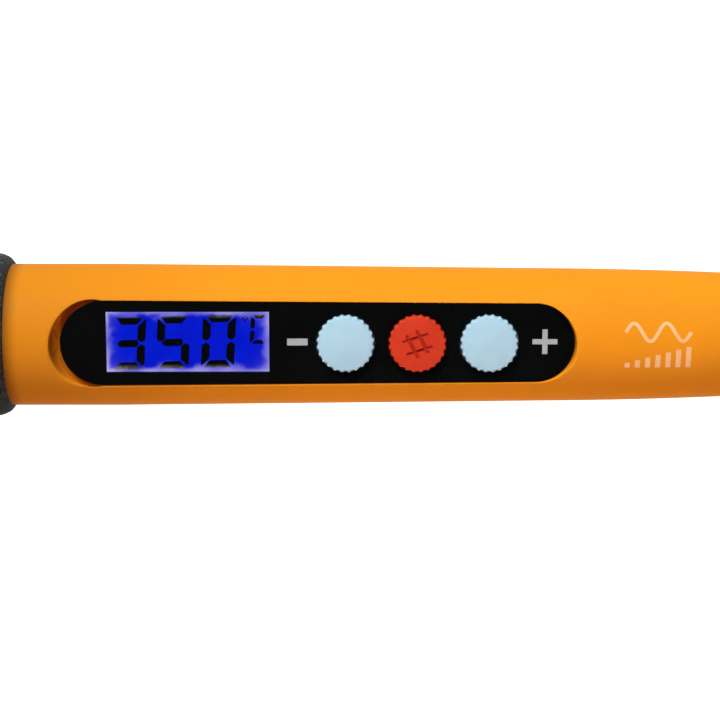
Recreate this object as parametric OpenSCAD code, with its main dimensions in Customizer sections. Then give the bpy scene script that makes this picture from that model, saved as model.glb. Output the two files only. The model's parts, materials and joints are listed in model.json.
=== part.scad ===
// Soldering iron with a temperature display, handle sideways: the tip points to -X, the cord end
// to +X and the control panel faces +Z. The origin is on the iron's axis, at the middle of the grip.
// Every length is in millimetres.

/* [Handle] */
// Radius of the handle just behind the grip
handle_r = 12; // [11.9:0.1:12.2]
// Radius of the handle where its tail begins
waist_r = 11.22; // [11.1:0.02:11.3]
// X where the handle starts to get slimmer
taper_x = 40; // [36:1:44]
// X where the tail begins
waist_x = 116.5; // [115:0.5:118]
// X of the tail's far end
tail_x = 167; // [165:1:170]
// Radius of the long curve that draws the tail in
tail_curve_r = 758; // [720:2:800]
// Radius of the rounding at the tail's far end
tail_round = 4; // [3:0.5:4.5]
// Wall thickness of the two shells
wall = 2; // [1.8:0.1:2.1]

/* [Grip] */
// Length of the foam grip
grip_len = 44; // [43:0.5:46]
// Outside radius of the foam grip
grip_r = 13.9; // [13.5:0.1:14.5]
// Radius of the spigot that the foam is pulled over
spigot_r = 10.4; // [10.2:0.1:10.6]
// Length of the rounding at each end of the foam
grip_round_len = 2.8; // [2:0.1:4]

/* [Control panel] */
// X of the middle of the panel's round left end
panel_left_x = 38.1; // [37.8:0.1:38.4]
// X of the middle of the panel's round right end
panel_right_x = 109.9; // [109.6:0.1:110.2]
// Radius of the panel's left end
panel_left_r = 7.03; // [6.9:0.01:7.05]
// Radius of the panel's right end
panel_right_r = 6.51; // [6.4:0.01:6.53]
// Height of the panel's face above the axis at its left end
panel_left_z = 9.35; // [9.2:0.01:9.7]
// Height of the panel's face above the axis at its right end
panel_right_z = 8.85; // [8.8:0.01:9.2]
// Slope of the pocket's left end wall, from the vertical
pocket_draft = 30; // [20:1:35]
// Thickness of the panel plate and of the display's lens
plate_t = 0.6; // [0.5:0.05:0.7]

/* [Display] */
// X of the middle of the display
lcd_x = 52.25; // [52:0.05:52.5]
// Length of the display's window
window_len = 27; // [26:0.5:27.5]
// Width of the display's window
window_w = 10.1; // [9.6:0.1:10.2]
// How far the window sits off the panel's middle line, to the side of +Y
window_y = 0.2; // [0:0.05:0.3]

/* [Buttons] */
// X of the minus, set and plus buttons
button_xs = [78.4, 90.3, 102.2];
// Radius over the scallops of a button
button_r = 4.8; // [4.7:0.05:4.85]
// Radius of the hole that a button slides in
button_hole_r = 4.95; // [4.92:0.01:5]
// Height of a button's edge above the axis
button_edge_z = 10.15; // [10:0.05:10.6]
// Rise of a button's domed top
button_dome = 0.45; // [0.3:0.05:0.6]
// Number of scallops round a button
scallops = 24; // [20:1:28]

/* [Heating end] */
// Radius of the threaded nipple, at the thread's middle
thread_r = 6.25; // [6.2:0.01:6.28]
// Outside radius of the barrel nut
nut_r = 8; // [7.6:0.1:8.4]
// Number of flutes round the barrel nut
nut_flutes = 30; // [24:2:36]
// Outside radius of the tip sleeve
sleeve_r = 4.2; // [4.1:0.05:4.25]
// Radius of the ceramic heater
heater_r = 2; // [1.9:0.05:2.05]
// X of the soldering tip's point
tip_x = -97; // [-102:1:-95]

/* [Cord inlet] */
// Radius of the gland's bore
gland_bore_r = 2.6; // [2.4:0.05:2.8]

/* [Hidden] */

// Smoothness of round parts
round_fn = 96;
// Straight stretches in each round end of the panel
end_steps = 40;
// A little extra, so that cuts run clear of the faces they open
clear = 0.5;

// Stations along the iron
grip_x = grip_len / 2;
grip_front_x = -grip_x;
nose_x = grip_front_x - 5.5;
spigot_front_x = nose_x + 2;
nipple_front_x = -37;
sleeve_flange_t = 0.6;
nut_back_x = -29;
nut_front_x = -39.6;
sleeve_step_x = -51.5;
sleeve_rear_r = sleeve_r + 0.4;
sleeve_front_x = -80.5;
tip_back_x = -54;
tip_shoulder_x = -77.9;

// Heights inside the handle, from the circuit board up to the pocket's floor
board_bottom_z = 1;
board_top_z = 2.6;
plunger_top_z = 6.3;
floor_z = 7.6;
glass_top_z = 8.5;
glass_bottom_z = 6.5;

board_x = [32, 124.5];
board_w = 16.4;
board_screw_xs = [70.9, 110.2];
shell_screw_xs = [28, 131];
clamp_x = 143;
clamp_screw_y = 4.6;
cord_r = 2.5;

panel_tilt = atan((panel_left_z - panel_right_z) / (panel_right_x - panel_left_x));
waist_slope = (handle_r - waist_r) / (waist_x - taper_x);

// Handle's radius at x, short of the rounding at its far end
function handle_radius(x) =
    x < taper_x ? handle_r
    : x < waist_x ? handle_r - waist_slope * (x - taper_x)
    : waist_r - waist_slope * (x - waist_x) - pow(x - waist_x, 2) / (2 * tail_curve_r);

tail_round_x = tail_x - tail_round;
tail_steps = 11;
tail_stations = [for (i = [0 : tail_steps]) waist_x + (tail_round_x - waist_x) * i / tail_steps];

orange = [0.96, 0.6, 0.17];
pale_blue = [0.68, 0.82, 0.88];

// Lays what is built along +Z along +X
module along_x() rotate([0, 90, 0]) children();

// Turns a list of [x, radius] points about the iron's axis
module lathe(points, fn = round_fn)
    along_x() rotate_extrude($fn = fn) polygon([for (p = points) [p[1], p[0]]]);

// Cylinder along the iron's axis, from x0 to x1
module rod_x(x0, x1, r, fn = round_fn)
    translate([x0, 0, 0]) along_x() cylinder(h = x1 - x0, r = r, $fn = fn);

// Upright cylinder at x, y
module post(x, y, z0, z1, r, fn = 48)
    translate([x, y, z0]) cylinder(h = z1 - z0, r = r, $fn = fn);

// Box between x0 and x1 and between z0 and z1, centred on y
module block(x0, x1, w, z0, z1, y = 0)
    translate([x0, y - w / 2, z0]) cube([x1 - x0, w, z1 - z0]);

// Straight wire between two points
module wire(a, b, r) {
    d = b - a;
    translate(a) rotate([0, acos(d[2] / norm(d)), atan2(d[1], d[0])])
        cylinder(h = norm(d), r = r, $fn = 24);
}

// Wire through a list of points, with a bead at each bend that rounds its corner
module bent_wire(points, r) {
    for (i = [1 : len(points) - 1]) wire(points[i - 1], points[i], r);
    for (i = [1 : len(points) - 2]) translate(points[i]) sphere(r = r * 1.08, $fn = 24);
}

// Puts what is drawn on z = 0 on the panel's sloping face, with x counted from its left end's middle
module on_panel() translate([panel_left_x, 0, panel_left_z]) rotate([0, panel_tilt, 0]) children();

// Outline of the panel: two round ends joined by tangents, smaller by margin all round
module panel_outline(margin = 0) {
    span = panel_right_x - panel_left_x;
    lean = asin((panel_left_r - panel_right_r) / span);
    turn = 180 - 2 * lean;
    polygon(concat(
        [for (i = [0 : end_steps]) let (a = 90 - lean + (360 - turn) * i / end_steps)
            (panel_left_r - margin) * [cos(a), sin(a)]],
        [for (i = [0 : end_steps]) let (a = -90 + lean + turn * i / end_steps)
            [span, 0] + (panel_right_r - margin) * [cos(a), sin(a)]]
    ));
}

// Space for the panel plate, open upwards, with the sloping wall at its left end
module panel_pocket() on_panel() {
    translate([0, 0, -plate_t]) linear_extrude(height = 6) panel_outline();
    slope = tan(pocket_draft);
    translate([0, 0, -0.1])
        cylinder(h = 4, r1 = panel_left_r - 0.1 * slope, r2 = panel_left_r + 3.9 * slope, $fn = round_fn);
}

module handle_solid() lathe(concat(
    [[spigot_front_x, 0], [spigot_front_x, spigot_r], [grip_x, spigot_r], [grip_x, handle_r],
     [taper_x, handle_r]],
    [for (x = tail_stations) [x, handle_radius(x)]],
    [for (a = [15 : 15 : 90]) [
        tail_round_x + tail_round * sin(a),
        handle_radius(tail_round_x) - tail_round * (1 - cos(a))
    ]],
    [[tail_x, 0]]
));

module handle_cavity() lathe(concat(
    [[spigot_front_x + 4, 0], [spigot_front_x + 4, spigot_r - wall], [grip_x - 2, spigot_r - wall],
     [grip_x + 2, handle_r - wall], [taper_x, handle_r - wall]],
    [for (x = tail_stations) [x, handle_radius(x) - wall]],
    [[tail_round_x, 0]]
));

// Half of what is drawn, above or below the seam
module shell_half(upper) intersection() {
    children();
    block(spigot_front_x - clear, tail_x + clear, 40, upper ? 0 : -20, upper ? 20 : 0);
}

// Holes that both shells share at their ends: the nipple's at the front, the gland's at the back
module end_holes() {
    rod_x(spigot_front_x - clear, spigot_front_x + 4 + clear, thread_r + 0.05);
    rod_x(tail_round_x - clear, tail_x + clear, 4);
}

module upper_shell() color(orange) difference() {
    union() {
        shell_half(true) difference() {
            handle_solid();
            difference() {
                handle_cavity();
                block(28, 119, 30, floor_z, 20);
            }
        }
        for (x = shell_screw_xs) post(x, 0, 0, handle_radius(x) - 1, 2.6);
        for (x = board_screw_xs) post(x, 0, board_top_z, floor_z + 0.2, 1.8);
    }
    panel_pocket();
    block(lcd_x - 15.2, lcd_x + 15.2, 12.2, floor_z - clear, 12);
    for (x = button_xs) post(x, 0, floor_z - clear, 12, button_hole_r, 72);
    for (x = shell_screw_xs) post(x, 0, -clear, 7, 1);
    for (x = board_screw_xs) post(x, 0, board_top_z - clear, 6.4, 0.8);
    end_holes();
}

module lower_shell() color(orange) difference() {
    union() {
        shell_half(false) difference() {
            handle_solid();
            handle_cavity();
        }
        for (x = shell_screw_xs) post(x, 0, -handle_radius(x) + 1, 0, 3.4);
        // Ledges that carry the circuit board's edges
        for (x = [58, 88, 120], side = [-1, 1])
            intersection() {
                handle_solid();
                block(x - 0.75, x + 0.75, 1.6, -9, board_bottom_z, side * (board_w / 2 - 0.4));
            }
        // Posts and saddle for the cord clamp
        for (side = [-1, 1]) post(clamp_x, side * clamp_screw_y, -8.6, cord_r - 0.2, 1.5);
        block(clamp_x - 2, clamp_x + 2, 6, -9.2, -cord_r);
    }
    for (x = shell_screw_xs) {
        post(x, 0, -14, -6, 2.5);
        post(x, 0, -7, clear, 1.3);
    }
    for (side = [-1, 1]) post(clamp_x, side * clamp_screw_y, -4, 4, 0.9, 24);
    end_holes();
}

// Self-tapping screw with its head's seat at z, pointing up when dir is 1 and down when it is -1
module screw(x, y, z, dir, head_r, head_t, shank_r, len) translate([x, y, z])
    mirror([0, 0, dir > 0 ? 0 : 1]) difference() {
        union() {
            translate([0, 0, -head_t]) cylinder(h = head_t, r = head_r, $fn = 48);
            cylinder(h = len, r = shank_r, $fn = 24);
        }
        // Cross recess
        for (a = [0, 90]) rotate([0, 0, a])
            translate([-head_r * 0.6, -head_r * 0.12, -head_t - clear])
                cube([head_r * 1.2, head_r * 0.24, clear + head_t * 0.6]);
    }

module shell_screws() color("silver")
    for (x = shell_screw_xs) screw(x, 0, -6, 1, 2.3, 1.8, 1, 12.5);

module board_screws() color("silver")
    for (x = board_screw_xs) screw(x, 0, board_bottom_z, 1, 1.6, 1.2, 0.8, 5);

module clamp_screws() color("silver")
    for (side = [-1, 1])
        screw(clamp_x, side * clamp_screw_y, cord_r + 1.4, -1, 1.6, 1, 0.9, 7);

module foam_grip() color([0.2, 0.2, 0.21]) lathe(concat(
    [[grip_front_x, spigot_r]],
    [for (a = [-90 : 15 : 0]) [
        grip_front_x + grip_round_len * (1 + sin(a)),
        handle_r + 0.05 + (grip_r - handle_r - 0.05) * cos(a)
    ]],
    [for (a = [0 : 15 : 90]) [
        grip_x - grip_round_len * (1 - sin(a)),
        handle_r + 0.05 + (grip_r - handle_r - 0.05) * cos(a)
    ]],
    [[grip_x, spigot_r]]
));

module nose_ring() color([0.1, 0.1, 0.11]) lathe([
    [grip_front_x, spigot_r], [grip_front_x, 12.3], [grip_front_x - 1.2, 12.5], [grip_front_x - 3.6, 11.9],
    [grip_front_x - 4.9, 10.9], [nose_x, 9.6], [nose_x, 7.4], [spigot_front_x, 7.4],
    [spigot_front_x, spigot_r]
]);

module nipple() color("lightgray") lathe([
    [nipple_front_x, 4.6], [nipple_front_x, thread_r - 0.3], [nipple_front_x + 0.3, thread_r],
    [spigot_front_x + 4, thread_r], [spigot_front_x + 4, 8.2], [spigot_front_x + 6.4, 8.2],
    [spigot_front_x + 6.4, 4.6]
]);

module heater_base() color("white") lathe([
    [-25, heater_r], [-25, 4.6], [spigot_front_x + 6.4, 4.6], [spigot_front_x + 6.4, 6.4],
    [-17, 6.4], [-17, heater_r]
]);

module heater_rod() color("ivory") union() {
    rod_x(-79, -15, heater_r);
    rod_x(-79.5, -79, heater_r - 0.4);
}

// Four insulated leads, which pass the front screw boss two on each side
lead_ys = [-5.7, -4.3, 4.3, 5.7];
module heater_leads() color("white")
    for (y = lead_ys) translate([0, y, -0.9]) rod_x(-17, 31.8, 0.5, 24);

spring_r = 2.75;
spring_wire_r = 0.3;
spring_turns = 7;
spring_steps = 14;
spring_sides = 6;
spring_x = [-26, -53.5];
function spring_centre(t) = [
    spring_x[0] + (spring_x[1] - spring_x[0]) * t,
    spring_r * cos(360 * spring_turns * t), spring_r * sin(360 * spring_turns * t)
];
// Points round the wire at t, from 0 at the spring's back end to 1 at its front
function spring_ring(t) = let (
    a = 360 * spring_turns * t,
    out = [0, cos(a), sin(a)],
    pitch = (spring_x[1] - spring_x[0]) / (360 * spring_turns) * 180 / PI,
    run = [pitch, -spring_r * sin(a), spring_r * cos(a)] / norm([pitch, spring_r]),
    side = cross(run, out)
) [for (k = [0 : spring_sides - 1]) let (b = 360 * k / spring_sides)
    spring_centre(t) + spring_wire_r * (cos(b) * out + sin(b) * side)];

module ground_spring() color("silver") {
    rings = spring_turns * spring_steps;
    n = spring_sides;
    polyhedron(
        points = [for (i = [0 : rings]) each spring_ring(i / rings)],
        faces = concat(
            [[for (k = [0 : n - 1]) k]],
            [for (i = [0 : rings - 1], k = [0 : n - 1]) let (j = (k + 1) % n)
                [i * n + k, (i + 1) * n + k, (i + 1) * n + j]],
            [for (i = [0 : rings - 1], k = [0 : n - 1]) let (j = (k + 1) % n)
                [i * n + k, (i + 1) * n + j, i * n + j]],
            [[for (k = [n - 1 : -1 : 0]) rings * n + k]]
        )
    );
}

module soldering_tip() color("silver") lathe([
    [tip_back_x, heater_r + 0.15], [tip_back_x, 3.2], [tip_shoulder_x, 3.2], [tip_shoulder_x, 2.6],
    [-83.5, 2.6], [-84.5, 2.45], [tip_x + 0.9, 0.45], [tip_x + 0.3, 0.32], [tip_x, 0], [-80.2, 0],
    [-80.2, heater_r + 0.15]
]);

module tip_sleeve() color("gainsboro") difference() {
    lathe([
        [nipple_front_x - 0.05, 3.5], [nipple_front_x - 0.05, 6],
        [nipple_front_x - 0.05 - sleeve_flange_t, 6],
        [nipple_front_x - 0.05 - sleeve_flange_t, sleeve_rear_r],
        [sleeve_step_x + 0.3, sleeve_rear_r], [sleeve_step_x, sleeve_r],
        [sleeve_front_x + 2, sleeve_r], [sleeve_front_x + 0.6, 3.6], [sleeve_front_x, 3.3],
        [sleeve_front_x, 2.75], [tip_shoulder_x, 2.75], [tip_shoulder_x, 3.5]
    ]);
    // Vent holes
    for (x = [-44, -48.5], a = [0 : 45 : 135]) translate([x, 0, 0])
        rotate([a + (x < -46 ? 22.5 : 0), 0, 0]) cylinder(h = 12, r = 1, center = true, $fn = 24);
}

module barrel_nut() color("silver") difference() {
    lathe([
        [nut_back_x, thread_r + 0.07], [nut_back_x, nut_r - 0.5], [nut_back_x - 0.5, nut_r],
        [nut_front_x + 1.4, nut_r], [nut_front_x, nut_r - 1.8], [nut_front_x, sleeve_rear_r + 0.1],
        [nipple_front_x - 0.1 - sleeve_flange_t, sleeve_rear_r + 0.1],
        [nipple_front_x - 0.1 - sleeve_flange_t, thread_r + 0.07]
    ]);
    for (i = [0 : nut_flutes - 1]) rotate([360 * i / nut_flutes, 0, 0])
        translate([-37.2, 0, nut_r + 0.3]) along_x() cylinder(h = 6.7, r = 0.62, $fn = 24);
}

module control_panel() color([0.03, 0.03, 0.035]) difference() {
    on_panel() translate([0, 0, -plate_t]) linear_extrude(height = plate_t) panel_outline(0.03);
    block(lcd_x - window_len / 2, lcd_x + window_len / 2, window_w, floor_z, 12, window_y);
    for (x = button_xs) post(x, 0, floor_z, 12, button_hole_r, 72);
}

module lcd_lens() color([0.2, 0.25, 0.8]) intersection() {
    on_panel() translate([0, 0, -plate_t]) linear_extrude(height = plate_t) panel_outline(0.5);
    block(lcd_x - window_len / 2, lcd_x + window_len / 2, window_w, floor_z, 12, window_y);
}

module lcd_glass() color([0.1, 0.1, 0.6])
    block(lcd_x - 15, lcd_x + 15, 12, glass_bottom_z, glass_top_z);

module lcd_backlight() color("aliceblue")
    block(lcd_x - 14.2, lcd_x + 14.2, 10, 4.4, glass_bottom_z);

module lcd_pins() color("silver")
    for (i = [0 : 7], side = [-1, 1])
        block(lcd_x - 12.6 + 3.6 * i, lcd_x - 12.2 + 3.6 * i, 0.4, board_top_z, glass_bottom_z, side * 5.6);

module lcd_bezel() color([0.15, 0.15, 0.15]) difference() {
    block(lcd_x - 16.4, lcd_x + 16.4, 13.4, board_top_z, glass_bottom_z - 0.1);
    block(lcd_x - 15, lcd_x + 15, 12.1, 0, 12);
}

module circuit_board() color("darkgreen") difference() {
    block(board_x[0], board_x[1], board_w, board_bottom_z, board_top_z);
    for (x = board_screw_xs) post(x, 0, 0, 4, 0.9);
}

// Push switch: its housing, then its plunger
module switch_housing(x) color([0.12, 0.12, 0.12]) difference() {
    block(x - 3, x + 3, 6, board_top_z, 5.8);
    post(x, 0, 5, 6.5, 1.85);
}
module plunger(x) color([0.5, 0.5, 0.48]) post(x, 0, 5.4, plunger_top_z, 1.75);

module switch_minus() switch_housing(button_xs[0]);
module switch_set() switch_housing(button_xs[1]);
module switch_plus() switch_housing(button_xs[2]);
module plunger_minus() plunger(button_xs[0]);
module plunger_set() plunger(button_xs[1]);
module plunger_plus() plunger(button_xs[2]);

// Button cap: domed scalloped top, flange that keeps it in, and the stem over the switch
module button_cap(x) translate([x, 0, 0]) {
    dome_r = (pow(button_r, 2) + pow(button_dome, 2)) / (2 * button_dome);
    top_z = button_edge_z + button_dome;
    difference() {
        rotate_extrude($fn = 72) intersection() {
            translate([0, floor_z - 0.05]) square([button_r, top_z]);
            translate([0, top_z - dome_r]) circle(r = dome_r, $fn = 720);
        }
        for (i = [0 : scallops - 1]) rotate([0, 0, 360 * i / scallops])
            translate([button_r + 0.45, 0, floor_z]) cylinder(h = 5, r = 0.68, $fn = 24);
    }
    translate([0, 0, 6.9]) cylinder(h = floor_z - 6.95, r = 5.5, $fn = 72);
    translate([0, 0, plunger_top_z]) cylinder(h = 7 - plunger_top_z, r = 1.8, $fn = 48);
}

// Hash-shaped groove in the set button's top
module hash_groove(x) translate([x, 0, button_edge_z + button_dome - 0.25]) rotate([0, 0, 22])
    for (a = [0, 90], d = [-0.95, 0.95]) rotate([0, 0, a])
        translate([-2.4, d - 0.17, 0]) cube([4.8, 0.34, 1]);

module button_minus() color(pale_blue) button_cap(button_xs[0]);
module button_set() color([0.82, 0.22, 0.14]) difference() {
    button_cap(button_xs[1]);
    hash_groove(button_xs[1]);
}
module button_plus() color(pale_blue) button_cap(button_xs[2]);

module microcontroller() color([0.1, 0.1, 0.1]) {
    block(42, 52, 3.9, -0.6, 0.8);
    for (i = [0 : 7]) block(42.35 + 1.27 * i, 42.77 + 1.27 * i, 6, 0.7, board_bottom_z);
}

module smoothing_capacitor() color([0.1, 0.15, 0.4]) {
    translate([54, 0, -2.2]) along_x() cylinder(h = 11, r = 3.15, $fn = 48);
    for (side = [-1, 1])
        bent_wire([[65, side * 1.2, -2.2], [66.6, side * 1.2, -2.2], [66.6, side * 1.2, 1]], 0.3);
}

module film_capacitor() color([0.85, 0.75, 0.2]) block(74, 86.8, 6, -6.4, board_bottom_z);

module triac() color([0.13, 0.13, 0.13]) {
    block(92, 101, 10, -3.4, 0.9);
    block(101, 106.6, 10, -3.4, -2.2);
    for (y = [-2.54, 0, 2.54])
        bent_wire([[92, y, -1.2], [89.4, y, -1.2], [89.4, y, board_bottom_z]], 0.35);
}

module resistors() color("tan")
    for (x = [46, 62, 80, 97], side = [-1, 1]) {
        y = side * 6.6;
        translate([x - 2.6, y, -0.4]) along_x() cylinder(h = 5.2, r = 1, $fn = 24);
        for (end = [-1, 1])
            bent_wire([[x + end * 2.6, y, -0.4], [x + end * 4, y, -0.4], [x + end * 4, y, 1]], 0.25);
    }

module fuse() color("gainsboro") {
    translate([113, 0, -1]) along_x() cylinder(h = 8, r = 1.8, $fn = 48);
    for (x = [112.8, 121.2]) block(x - 0.2, x + 0.2, 2, -2, board_bottom_z);
}

module heater_connector() color("ivory")
    block(31.8, 38.5, 14.8, -3, board_bottom_z);

module mains_terminal() color("seagreen") difference() {
    block(113.5, 123, 8.6, board_top_z, 7.3);
    for (side = [-1, 1]) {
        post(118, side * 2.2, 5, 8, 1.3);
        translate([117, side * 2.2, 4.2]) along_x() cylinder(h = 8, r = 1.1, $fn = 24);
    }
}

module cord_clamp() color([0.15, 0.15, 0.15]) difference() {
    block(clamp_x - 2.4, clamp_x + 2.4, 12.8, cord_r - 0.2, cord_r + 1.4);
    translate([clamp_x, 0, -0.9]) along_x() cylinder(h = 8, r = 3.4, center = true, $fn = 48);
    for (side = [-1, 1]) post(clamp_x, side * clamp_screw_y, 0, 6, 0.9, 24);
}

module cord_gland() color([0.08, 0.08, 0.08]) lathe([
    [tail_round_x - 2.2, gland_bore_r], [tail_round_x - 2.2, 5.6], [tail_round_x, 5.6],
    [tail_round_x, 4], [tail_x, 4], [tail_x, 4.9], [tail_x + 0.7, 4.8], [tail_x + 1.2, 4.2],
    [tail_x + 1.2, gland_bore_r]
]);

soldering_tip();
tip_sleeve();
barrel_nut();
nipple();
heater_rod();
heater_base();
heater_leads();
ground_spring();
nose_ring();
foam_grip();
upper_shell();
lower_shell();
shell_screws();
control_panel();
lcd_lens();
lcd_glass();
lcd_backlight();
lcd_pins();
lcd_bezel();
circuit_board();
board_screws();
switch_minus();
switch_set();
switch_plus();
plunger_minus();
plunger_set();
plunger_plus();
button_minus();
button_set();
button_plus();
microcontroller();
smoothing_capacitor();
film_capacitor();
triac();
resistors();
fuse();
heater_connector();
mains_terminal();
cord_clamp();
clamp_screws();
cord_gland();
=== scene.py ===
# Soldering iron with a temperature display: its looks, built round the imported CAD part.
import json
import math

import bmesh
import bpy
import numpy as np
from mathutils import Matrix, Vector


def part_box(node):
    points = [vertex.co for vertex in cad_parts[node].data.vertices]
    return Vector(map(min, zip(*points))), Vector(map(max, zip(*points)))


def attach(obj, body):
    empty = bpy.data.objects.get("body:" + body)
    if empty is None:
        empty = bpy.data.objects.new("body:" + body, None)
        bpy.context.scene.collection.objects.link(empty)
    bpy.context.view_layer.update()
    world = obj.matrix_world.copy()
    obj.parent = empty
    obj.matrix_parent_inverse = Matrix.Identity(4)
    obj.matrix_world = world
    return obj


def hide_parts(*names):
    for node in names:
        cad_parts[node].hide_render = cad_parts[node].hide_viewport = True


MM = 0.001
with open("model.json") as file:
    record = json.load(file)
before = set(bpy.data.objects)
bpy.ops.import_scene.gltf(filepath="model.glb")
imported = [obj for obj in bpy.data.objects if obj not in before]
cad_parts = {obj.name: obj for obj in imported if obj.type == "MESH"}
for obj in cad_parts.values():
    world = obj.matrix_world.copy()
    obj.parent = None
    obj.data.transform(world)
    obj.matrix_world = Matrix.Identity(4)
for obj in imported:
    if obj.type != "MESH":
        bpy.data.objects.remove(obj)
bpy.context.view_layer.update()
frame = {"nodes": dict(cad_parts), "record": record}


def box(node):
    """Lowest and highest corner of a CAD node, in millimetres."""
    lo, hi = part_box(node)
    return lo / MM, hi / MM


# ---------------------------------------------------------------- mesh building, in millimetres

class Solid:
    """Collects points and faces, then becomes one welded mesh object."""

    def __init__(self):
        self.verts, self.faces = [], []

    def add(self, points):
        start = len(self.verts)
        self.verts.extend(tuple(p) for p in points)
        return list(range(start, len(self.verts)))

    def grid(self, rows, closed=False):
        ids = [self.add(row) for row in rows]
        for a, b in zip(ids, ids[1:]):
            for i in range(len(a) if closed else len(a) - 1):
                j = (i + 1) % len(a)
                self.faces.append((a[i], a[j], b[j], b[i]))
        return self

    def face(self, points):
        self.faces.append(tuple(self.add(points)))
        return self

    def build(self, name, smooth=40, weld=True):
        mesh = bpy.data.meshes.new(name)
        mesh.from_pydata([(x * MM, y * MM, z * MM) for x, y, z in self.verts], [], self.faces)
        bm = bmesh.new()
        bm.from_mesh(mesh)
        if weld:
            bmesh.ops.remove_doubles(bm, verts=bm.verts, dist=2e-7)
            bmesh.ops.dissolve_degenerate(bm, edges=bm.edges, dist=1e-7)
        bmesh.ops.recalc_face_normals(bm, faces=bm.faces)
        bm.to_mesh(mesh)
        bm.free()
        obj = bpy.data.objects.new(name, mesh)
        bpy.context.scene.collection.objects.link(obj)
        shade(obj, smooth)
        return obj


def shade(obj, angle):
    obj.data.polygons.foreach_set("use_smooth", [True] * len(obj.data.polygons))
    obj.data.set_sharp_from_angle(angle=math.radians(angle))


def place(obj, body, slot_name, *nodes, finish=None):
    """Gives a piece its body and the material of its slot, and hides the CAD nodes that it stands for."""
    obj.data.materials.clear()
    obj.data.materials.append(MATERIALS[finish or slot_name])
    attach(obj, body)
    if nodes:
        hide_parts(*nodes)
    return obj


def fillet(corners, steps=5):
    """Rounds the corners of a closed outline, given as (u, v, rounding)."""
    out, n = [], len(corners)
    for i, (u, v, rounding) in enumerate(corners):
        if rounding <= 0:
            out.append((u, v))
            continue
        here = Vector((u, v))
        before = Vector(corners[i - 1][:2]) - here
        after = Vector(corners[(i + 1) % n][:2]) - here
        reach = min(rounding, before.length * 0.48, after.length * 0.48)
        a, b = here + before.normalized() * reach, here + after.normalized() * reach
        for k in range(steps + 1):
            t = k / steps
            out.append(tuple(a * (1 - t) ** 2 + here * 2 * t * (1 - t) + b * t * t))
    return out


def subdivide(outline, longest):
    """Splits the stretches of a closed outline that are longer than that."""
    out = []
    for (u0, v0), (u1, v1) in zip(outline, outline[1:] + outline[:1]):
        n = max(1, math.ceil(math.hypot(u1 - u0, v1 - v0) / longest))
        out += [(u0 + (u1 - u0) * k / n, v0 + (v1 - v0) * k / n) for k in range(n)]
    return out


def lathe(outline, n=160, shape=None):
    """Turns a closed outline of (x, radius) about the iron's axis. shape(x, r, angle) may move the radius."""
    rows = []
    for x, r in outline + outline[:1]:
        row = []
        for i in range(n):
            a = 2 * math.pi * i / n
            q = shape(x, r, a) if shape else r
            row.append((x, q * math.sin(a), q * math.cos(a)))
        rows.append(row)
    return Solid().grid(rows, closed=True)


def prism(outline, z0, z1, lift=None):
    """Plate with that outline in x, y. lift(x, y) adds to its height, so that it lies on a surface."""
    def at(z):
        return [(x, y, z + (lift(x, y) if lift else 0)) for x, y in outline]
    low, high = at(z0), at(z1)
    solid = Solid().grid([low + low[:1], high + high[:1]])
    return solid.face(low[::-1]).face(high)


def carve(obj, cutter, smooth=40, operation="DIFFERENCE"):
    """Takes cutter away from obj, or adds it, for good."""
    modifier = obj.modifiers.new("carve", "BOOLEAN")
    modifier.operation, modifier.solver, modifier.object = operation, "EXACT", cutter
    graph = bpy.context.evaluated_depsgraph_get()
    done = bpy.data.meshes.new_from_object(obj.evaluated_get(graph))
    obj.modifiers.clear()
    obj.data = done
    bpy.data.objects.remove(cutter)
    shade(obj, smooth)
    return obj


def post(x, y, z0, z1, r, n=96):
    return prism([(x + r * math.cos(2 * math.pi * i / n), y + r * math.sin(2 * math.pi * i / n))
                  for i in range(n)], z0, z1)


def block(x0, x1, y0, y1, z0, z1):
    return prism([(x0, y0), (x1, y0), (x1, y1), (x0, y1)], z0, z1)


def join(solids):
    """One Solid out of several that don't touch."""
    whole = Solid()
    for s in solids:
        start = len(whole.verts)
        whole.verts += s.verts
        whole.faces += [tuple(start + i for i in f) for f in s.faces]
    return whole


# ---------------------------------------------------------------- materials

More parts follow.
